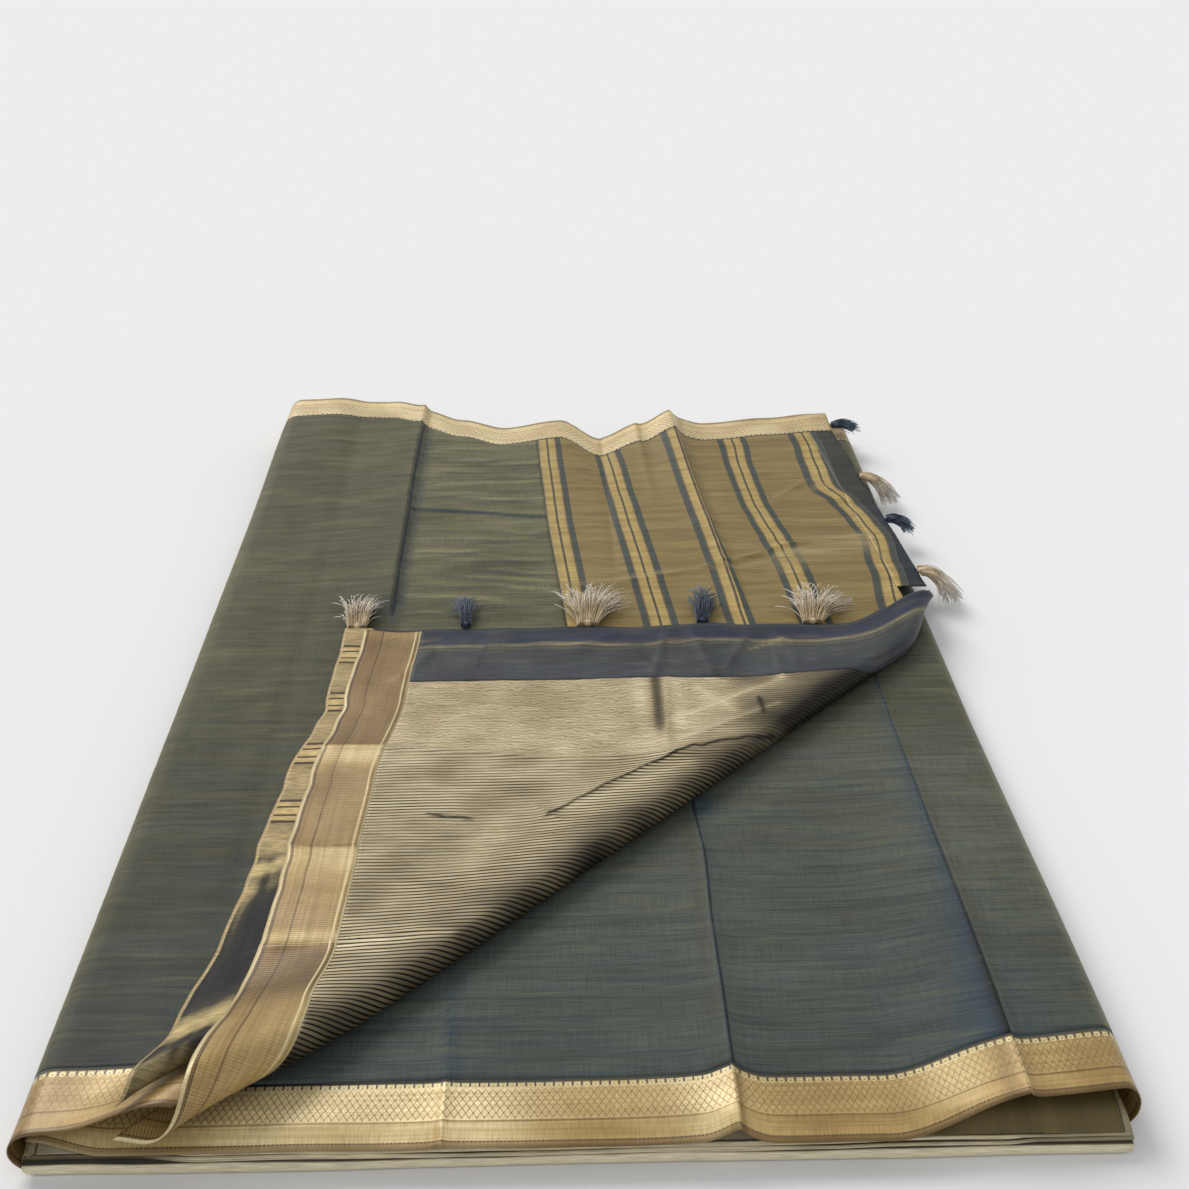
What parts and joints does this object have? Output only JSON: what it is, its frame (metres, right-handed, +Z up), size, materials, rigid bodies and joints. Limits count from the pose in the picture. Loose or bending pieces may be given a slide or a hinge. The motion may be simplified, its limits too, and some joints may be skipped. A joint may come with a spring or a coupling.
{
  "type": "saree, folded",
  "caption": "Folded cotton-silk saree in shot grey-green with woven gold borders; a corner is turned back over its ribbed gold end, and small cream and dark tassels edge the ends.",
  "frame": {"origin": "centre of the folded stack's footprint, on the surface that it rests on", "axes": "+Z up, +Y along the panel's long side (across the saree's width) to the far border, +X along the saree's length to its tasselled end"},
  "size_m": [0.707, 1.0824, 0.07],
  "materials": {
    "body_cloth_olive": "plain woven two-tone cotton silk, soft sheen",
    "body_cloth_teal": "the same two-tone cloth seen along its other sheen",
    "gold_border": "woven metallic thread border, satin",
    "ribbed_gold": "ribbed metallic tissue, satin",
    "khaki_stripes": "brown-gold plain weave crossed by gold and dark stripes",
    "navy_band": "dark blue plain weave",
    "cream_silk": "twisted silk threads, satin",
    "dark_silk": "twisted dark blue silk threads, satin",
    "inner_layers": "plain woven cloth edges, layered"
  },
  "bodies": {
    "root": {"hidden_layers": "inner_layers", "lower_panel_field": "body_cloth_teal", "lower_panel_near_border": "gold_border", "lower_panel_far_border": "gold_border", "top_panel_field": "body_cloth_olive", "top_panel_stripes": "khaki_stripes", "top_panel_end_band": "navy_band", "top_panel_far_border": "gold_border", "top_panel_near_border": "gold_border", "flap_field": "ribbed_gold", "flap_border": "gold_border", "flap_end_band": "navy_band", "flap_under_border": "gold_border", "flap_under_end": "navy_band", "flap_tassel_1": "cream_silk", "flap_tassel_2": "dark_silk", "flap_tassel_3": "cream_silk", "flap_tassel_4": "dark_silk", "flap_tassel_5": "cream_silk", "end_tassel_1": "cream_silk", "end_tassel_2": "dark_silk", "end_tassel_3": "cream_silk", "end_tassel_4": "dark_silk"}
  },
  "joints": []
}
